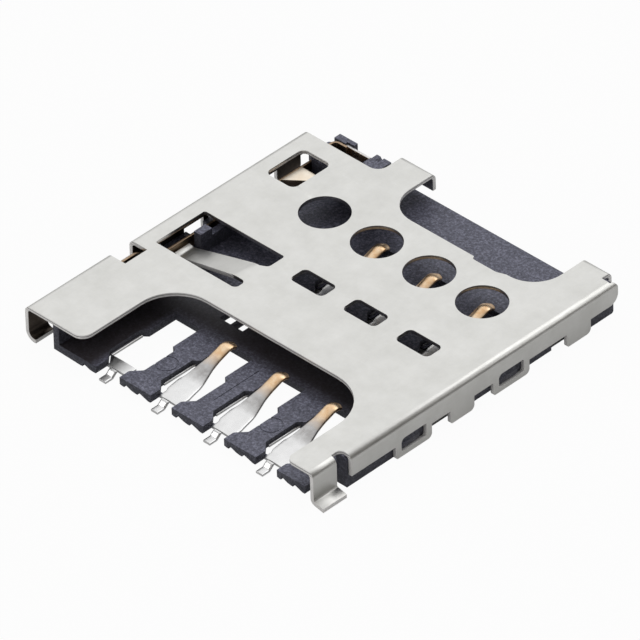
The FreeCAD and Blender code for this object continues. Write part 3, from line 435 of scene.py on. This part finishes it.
def bronze_edge():
    """Sheared edge of the bronze strip, dull brown."""
    made, tree, shader = material("bronze_edge", 1.0, 0.45)
    streaks = noise(tree, place_coordinates(tree, (1, 1, 0.3)), 10.0, 3.0)
    tint = ramp(tree, streaks, [(0.3, (0.30, 0.21, 0.14)), (0.7, (0.48, 0.36, 0.25))])
    tree.links.new(tint, shader.inputs["Base Color"])
    bump(tree, shader, streaks, 0.15, 0.003 * MM)
    return made


def cut_faces(mesh, thickness):
    """Marks with material 1 the faces that have more than the sheet's thickness of metal behind them."""
    tree = BVHTree.FromBMesh(mesh)
    limit = (thickness * CUT_SHEETS + CUT_SLACK) * MM
    for face in mesh.faces:
        start = face.calc_center_median() - face.normal * CUT_PROBE * MM
        place, normal, index, depth = tree.ray_cast(start, -face.normal)
        face.material_index = 0 if place is not None and depth < limit else 1


def hole_walls(mesh):
    """Marks with material 2 the cut faces of the holes and windows in the cover's top, which take the
    painted shade.
    """
    for face in mesh.faces:
        centre = face.calc_center_median() / MM
        inside = HOLES_FRONT < centre.y < HOLES_REAR and abs(centre.x) < HOLES_SIDE
        if face.material_index == 1 and inside and centre.z > TOP_UNDER:
            face.material_index = 2


def inner_side(mesh):
    """Marks with material 3 the inner faces of the cover's left wall and of its curled foot, which take
    the painted shade.
    """
    for face in mesh.faces:
        centre = face.calc_center_median() / MM
        on_wall = face.normal.x > 0.1 and centre.z < TOP_UNDER
        on_foot = face.normal.z > 0.5 and centre.z < LEFT_FOOT_TOP
        if face.material_index == 0 and centre.x < LEFT_WALL_REACH and (on_wall or on_foot):
            face.material_index = 3


def mark_shell(mesh):
    """Sets apart the faces of the cover that look different from its sheet and its outer cut edges."""
    hole_walls(mesh)
    inner_side(mesh)


def weld(mesh):
    """Joins points that coincide and takes out what has no area."""
    bmesh.ops.remove_doubles(mesh, verts=mesh.verts, dist=MERGE * MM)
    bmesh.ops.dissolve_degenerate(mesh, dist=MERGE * MM, edges=mesh.edges)


def prism(mesh, profile, front, rear):
    """Adds a solid with the given outline of (across, height), from front to rear."""
    rings = [[mesh.verts.new(Vector((across, along, height)) * MM) for across, height in profile]
             for along in (front, rear)]
    mesh.faces.new(rings[0])
    mesh.faces.new(list(reversed(rings[1])))
    for index in range(len(profile)):
        after = (index + 1) % len(profile)
        mesh.faces.new((rings[0][index], rings[1][index], rings[1][after], rings[0][after]))


def object_from(mesh, name):
    """Object made from a mesh under construction, which is used up."""
    data = bpy.data.meshes.new(name)
    mesh.to_mesh(data)
    mesh.free()
    made = bpy.data.objects.new(name, data)
    bpy.context.scene.collection.objects.link(made)
    return made


def sole_notches():
    """Solids that fill the notches between the low points under the four front feet and the left block."""
    mesh = bmesh.new()
    for column in range(COLUMNS):
        left = FIRST_COLUMN + PITCH * column + FOOT_LEFT
        width = min(FOOT_WIDTH, LAST_FOOT_RIGHT - left)
        for profile in SOLE_NOTCHES:
            outline = [(left + share * width, height) for share, height in profile]
            prism(mesh, outline, SOLE_FRONT, SOLE_REAR)
    prism(mesh, LEFT_BLOCK_NOTCH, SOLE_FRONT, SOLE_REAR)
    bmesh.ops.recalc_face_normals(mesh, faces=mesh.faces)
    return mesh


def notched(mesh):
    """The housing's mesh with the notches under its front cut out."""
    whole = object_from(mesh, "uncut")
    notches = object_from(sole_notches(), "notches")
    cut = whole.modifiers.new("cut", "BOOLEAN")
    cut.solver = "EXACT"
    cut.object = notches
    bpy.context.view_layer.update()
    result = bmesh.new()
    result.from_mesh(whole.evaluated_get(bpy.context.evaluated_depsgraph_get()).to_mesh())
    weld(result)
    for spent in (whole, notches):
        bpy.data.objects.remove(spent)
    return result


def soften(piece, edge):
    """Rounds a piece's sharp edges and levels the shading of its flats."""
    round_edges = piece.modifiers.new("edges", "BEVEL")
    round_edges.width = edge * MM
    round_edges.segments = 2
    round_edges.limit_method = "ANGLE"
    round_edges.angle_limit = math.radians(EDGE_ANGLE)
    round_edges.use_clamp_overlap = True
    level = piece.modifiers.new("normals", "WEIGHTED_NORMAL")
    level.mode = "FACE_AREA"
    level.weight = 100


def dressed(node, body, materials, edge, thickness=None, reshape=None, mark=None):
    """Piece that stands for a node: the same form with rounded edges, and its cut edges set apart."""
    mesh = bmesh.new()
    mesh.from_mesh(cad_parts[node].data)
    for face in mesh.faces:
        face.material_index = 0
    weld(mesh)
    if reshape:
        mesh = reshape(mesh)
    mesh.normal_update()
    if thickness:
        cut_faces(mesh, thickness)
    if mark:
        mark(mesh)
    bmesh.ops.dissolve_limit(mesh, angle_limit=math.radians(1.0), use_dissolve_boundaries=False,
                             verts=mesh.verts, edges=mesh.edges, delimit={"MATERIAL"})
    piece = object_from(mesh, node + "_look")
    for each in materials:
        piece.data.materials.append(each)
    piece.data.polygons.foreach_set("use_smooth", [True] * len(piece.data.polygons))
    soften(piece, edge)
    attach(piece, body)
    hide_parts(node)


def rounded_path(places):
    """Points along a path of (along, height, corner radius), with its corners drawn as arcs."""
    points = []
    for index, (along, height, radius) in enumerate(places):
        at = Vector((along, height))
        if radius == 0:
            points.append(at)
            continue
        incoming = (at - Vector(places[index - 1][:2])).normalized()
        outgoing = (Vector(places[index + 1][:2]) - at).normalized()
        turn = incoming.angle_signed(outgoing)
        reach = radius * math.tan(abs(turn) / 2)
        steps = max(3, int(abs(turn) / math.radians(3)))
        start = at - incoming * reach
        side = Vector((-incoming.y, incoming.x)) * (-1 if turn > 0 else 1)
        centre = start + side * radius
        for step in range(steps + 1):
            angle = turn * step / steps
            spoke = -side * radius
            points.append(centre + Vector((spoke.x * math.cos(angle) + spoke.y * math.sin(angle),
                                           spoke.y * math.cos(angle) - spoke.x * math.sin(angle))))
    return points


def filled(points, spacing):
    """The same path with no step longer than the spacing."""
    result = [points[0]]
    for before, after in zip(points, points[1:]):
        count = max(1, math.ceil((after - before).length / spacing))
        result += [before.lerp(after, step / count) for step in range(1, count + 1)]
    return result


def edge_at(stations, along):
    """Place across of a long edge at one place along the strip."""
    for (y0, x0), (y1, x1) in zip(stations, stations[1:]):
        if along <= y1:
            share = max(0.0, (along - y0) / (y1 - y0))
            return x0 + (x1 - x0) * share
    return stations[-1][1]


def eased_edge(stations, along):
    """The same with its corners softened over a short stretch."""
    if along - EASING < stations[0][0] or along + EASING > stations[-1][0]:
        return edge_at(stations, along)
    parts = (-1, -0.5, 0, 0.5, 1)
    return sum(edge_at(stations, along + EASING * part) for part in parts) / len(parts)


def strip_section(left, right, crown):
    """Ring of (across, height) round a strip with rounded long edges and a crowned middle."""
    half = (right - left) / 2
    middle = (right + left) / 2
    thick = STRIP_SHEET / 2
    ring = []
    for corner, (sx, sz) in enumerate(((1, 1), (-1, 1), (-1, -1), (1, -1))):
        for step in range(ROUND_STEPS + 1):
            angle = math.radians(90 * (corner + step / ROUND_STEPS))
            ring.append((sx * (half - EDGE_ROUND) + EDGE_ROUND * math.cos(angle),
                         sz * (thick - EDGE_ROUND) + EDGE_ROUND * math.sin(angle)))
        if corner in (0, 2):
            ring += [(sx * (half - EDGE_ROUND) * (1 - 2 * step / FACE_STEPS), sz * thick)
                     for step in range(1, FACE_STEPS)]
    return [(middle + x, z - crown * (x / half) ** 2) for x, z in ring]


def add_strip(mesh, path, left, right, crown, shift):
    """Closed strip along a path, between two long edges, added to a mesh."""
    rings = []
    for index, point in enumerate(path):
        ahead = path[min(index + 1, len(path) - 1)] - path[max(index - 1, 0)]
        ahead.normalize()
        up = Vector((-ahead.y, ahead.x))
        ring = []
        for across, height in strip_section(left(point.x), right(point.x), crown(point.x)):
            place = point + up * height
            ring.append(mesh.verts.new((Vector((across, place.x, place.y)) + shift) * MM))
        rings.append(ring)
    count = len(rings[0])
    for first, second in zip(rings, rings[1:]):
        for index in range(count):
            follow = (index + 1) % count
            mesh.faces.new((first[index], first[follow], second[follow], second[index]))
    mesh.faces.new(rings[0])
    mesh.faces.new(list(reversed(rings[-1])))


def metal_piece(mesh, name, body, made, node=None):
    """Piece of plated strip that rides on a body, and stands for a node where one is given."""
    bmesh.ops.recalc_face_normals(mesh, faces=mesh.faces)
    piece = object_from(mesh, name)
    piece.data.materials.append(made)
    piece.data.polygons.foreach_set("use_smooth", [True] * len(piece.data.polygons))
    piece.data.set_sharp_from_angle(angle=math.radians(50))
    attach(piece, body)
    if node:
        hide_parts(node)


def contact_points(start, end=math.inf):
    """Points of the contact's path between two places along it, or from one place to its tip."""
    return [point for point in filled(rounded_path(CONTACT_PATH), PATH_STEP) if start <= point.x <= end]


def add_tail(mesh, shift):
    """Tail of a contact or terminal, down to the board in front of the housing."""
    points = contact_points(0, PLATE_FRONT + TAIL_OVERLAP)
    add_strip(mesh, points, lambda y: -TAIL_HALF, lambda y: TAIL_HALF, lambda y: TAIL_CROWN, shift)


def blade_crown(along):
    """Crown of the blade: slight on the plate, and deeper along the beam."""
    return CROWN + (BEAM_CROWN - CROWN) * min(1.0, max(0.0, along - BEAM_START))


def card_contact(node, body, column_x, row_y, made):
    """Sprung contact: a tail on the board, a plate and a crowned beam that rises to a rounded crest."""
    shift = Vector((column_x, row_y, 0))
    mesh = bmesh.new()
    add_tail(mesh, shift)
    add_strip(mesh, contact_points(PLATE_FRONT), lambda y: eased_edge(CONTACT_LEFT, y),
              lambda y: eased_edge(CONTACT_RIGHT, y), blade_crown, shift)
    metal_piece(mesh, node + "_look", body, made, node)


def card_terminal(made):
    """Terminal of the first column: the same tail, a short plate and a runner behind its left corner."""
    shift = Vector((FIRST_COLUMN, FRONT_ROW, 0))
    left, right, rear = TERMINAL_RUNNER
    runner = contact_points(TERMINAL_REAR - TAIL_OVERLAP, FLAT_END)
    runner += [Vector((along, runner[-1].y)) for along in (FLAT_END + 0.3, rear)]
    mesh = bmesh.new()
    add_tail(mesh, shift)
    add_strip(mesh, contact_points(PLATE_FRONT, TERMINAL_REAR), lambda y: edge_at(TERMINAL_LEFT, y),
              lambda y: edge_at(TERMINAL_RIGHT, y), lambda y: TERMINAL_CROWN, shift)
    add_strip(mesh, runner, lambda y: left, lambda y: right, lambda y: RUNNER_CROWN, shift)
    metal_piece(mesh, "front_terminal_look", "base", made, "front_terminal")


def contact_runner(name, column_x, row_y, made):
    """Thin runner of the contact strip that stays along the window's left wall."""
    left, right, front, rear, low, high = RUNNER
    mesh = bmesh.new()
    bmesh.ops.create_cube(mesh, size=1)
    for vert in mesh.verts:
        x = left if vert.co.x < 0 else right
        y = front if vert.co.y < 0 else rear
        z = low if vert.co.z < 0 else high
        vert.co = (Vector((x, y, z)) + Vector((column_x, row_y, 0))) * MM
    bmesh.ops.bevel(mesh, geom=mesh.edges, offset=STRIP_EDGE * MM, segments=2, affect="EDGES", profile=0.5)
    metal_piece(mesh, name, "base", made)


def dress_all():
    """Makes every piece of the socket."""
    cut = steel_cut()
    plated = contact_metal()
    dressed("shell", "base", [steel_sheet(), cut, steel_bore_painted_shade(), steel_inside_painted_shade()], SHELL_EDGE,
            SHELL_SHEET, mark=mark_shell)
    dressed("housing", "base", [moulded_black()], HOUSING_EDGE, reshape=notched)
    for row, row_y in ROWS:
        for column in range(1, COLUMNS):
            name = "%s_%d" % (row, column)
            column_x = FIRST_COLUMN + PITCH * column
            card_contact("contact_" + name, "sprung_" + name, column_x, row_y, plated)
            contact_runner("runner_" + name, column_x, row_y, plated)
    card_terminal(plated)
    dressed("switch_terminal", "base", [plated, cut], STRIP_EDGE, STRIP_SHEET)
    dressed("switch_spring", "switch_arm", [spring_bronze(), bronze_edge()], STRIP_EDGE,
            SPRING_SHEET)


def open_floor(tree):
    """One on the open floor, zero in the shade of the socket's covered rear half."""
    place = place_coordinates(tree)
    across = axis_value(tree, place, "X")
    along = axis_value(tree, place, "Y")
    left, right, front, rear = FLOOR_SHADE
    inside = math_node(tree, "GREATER_THAN", across, left)
    for operation, value, limit in (("LESS_THAN", across, right), ("GREATER_THAN", along, front),
                                    ("LESS_THAN", along, rear)):
        inside = math_node(tree, "MULTIPLY", inside, math_node(tree, operation, value, limit))
    return math_node(tree, "SUBTRACT", 1.0, inside)


def floor_material():
    """Pale matt floor that shows white to the camera and a little of that in mirrors."""
    made, tree, shader = material("floor", 0.0, 0.9)
    shader.inputs["Base Color"].default_value = (*grey(0.62), 1)
    shader.inputs["Specular IOR Level"].default_value = 0.0
    white = add(tree, "ShaderNodeEmission")
    path = add(tree, "ShaderNodeLightPath").outputs
    seen = math_node(tree, "MAXIMUM", path["Is Camera Ray"], path["Is Transmission Ray"])
    seen = math_node(tree, "MULTIPLY_ADD", path["Is Glossy Ray"], FLOOR_MIRRORED, seen)
    share = math_node(tree, "MULTIPLY", math_node(tree, "MULTIPLY", seen, FLOOR_WHITE), open_floor(tree))
    mix = add(tree, "ShaderNodeMixShader")
    tree.links.new(share, mix.inputs["Fac"])
    tree.links.new(shader.outputs[0], mix.inputs[1])
    tree.links.new(white.outputs[0], mix.inputs[2])
    tree.links.new(mix.outputs[0], tree.nodes["Material Output"].inputs["Surface"])
    return made


def make_floor():
    """Plain floor under the socket, which keeps its shadow."""
    mesh = bmesh.new()
    bmesh.ops.create_grid(mesh, x_segments=1, y_segments=1, size=FLOOR_HALF * MM)
    floor = object_from(mesh, "floor")
    floor.data.materials.append(floor_material())


def make_world():
    """Soft bright dome with a low glow ahead, and plain white where the camera looks past the floor."""
    world = bpy.data.worlds.new("studio")
    bpy.context.scene.world = world
    world.use_nodes = True
    tree = world.node_tree
    back = tree.nodes["Background"]
    towards = add(tree, "ShaderNodeTexCoord").outputs["Generated"]
    split = add(tree, "ShaderNodeSeparateXYZ")
    tree.links.new(towards, split.inputs[0])
    across, along, up = split.outputs
    tilted = math_node(tree, "MULTIPLY_ADD", math_node(tree, "SUBTRACT", along, across), DOME_TILT, up)
    tilted = math_node(tree, "MULTIPLY", tilted, DOME_SPAN)
    dome = ramp(tree, tilted, [(place, grey(tone, warm)) for place, tone, warm in DOME_TONES])
    ahead = math_node(tree, "MULTIPLY", along, -1.0)
    front = ramp(tree, ahead, [(place, grey(tone)) for place, tone in GLOW_AHEAD])
    low = ramp(tree, up, [(place, grey(tone)) for place, tone in GLOW_HEIGHT])
    glow = math_node(tree, "MULTIPLY", math_node(tree, "MULTIPLY", front, low), FRONT_GLOW)
    dome = blend(tree, glow, dome, GLOW_TINT)
    path = add(tree, "ShaderNodeLightPath").outputs
    shown = blend(tree, path["Is Camera Ray"], dome, (1.0, 1.0, 1.0))
    tree.links.new(shown, back.inputs["Color"])
    back.inputs["Strength"].default_value = 1.0


def softbox(name, direction, distance, side, power):
    """Square lamp that faces the object, with its side and distance in millimetres."""
    lamp = bpy.data.lights.new(name, "AREA")
    lamp.shape = "SQUARE"
    lamp.size = side * MM
    lamp.energy = power
    holder = bpy.data.objects.new(name, lamp)
    bpy.context.scene.collection.objects.link(holder)
    away = Vector(direction).normalized()
    holder.location = away * distance * MM
    holder.rotation_euler = away.to_track_quat("Z", "Y").to_euler()


def make_camera():
    """Long lens that looks down on the card entry from the front right."""
    azimuth = math.radians(CAMERA_AZIMUTH)
    elevation = math.radians(CAMERA_ELEVATION)
    roll = math.radians(CAMERA_ROLL)
    back = Vector((math.sin(azimuth) * math.cos(elevation), -math.cos(azimuth) * math.cos(elevation),
                   math.sin(elevation)))
    level = Vector((math.cos(azimuth), math.sin(azimuth), 0))
    above = back.cross(level)
    right = level * math.cos(roll) + above * math.sin(roll)
    up = above * math.cos(roll) - level * math.sin(roll)
    lens = bpy.data.cameras.new("camera")
    lens.sensor_width = SENSOR
    lens.lens = CAMERA_FOCAL / IMAGE_SIDE * SENSOR
    lens.clip_start = 0.05
    lens.clip_end = 5.0
    camera = bpy.data.objects.new("camera", lens)
    bpy.context.scene.collection.objects.link(camera)
    place = Matrix((right, up, back)).transposed().to_4x4()
    place.translation = (Vector(CAMERA_AIM) + back * CAMERA_DISTANCE) * MM
    camera.matrix_world = place
    bpy.context.scene.camera = camera


dress_all()
make_floor()
make_world()
for lamp in LAMPS:
    softbox(*lamp)
make_camera()
bpy.context.scene.view_settings.view_transform = "Standard"
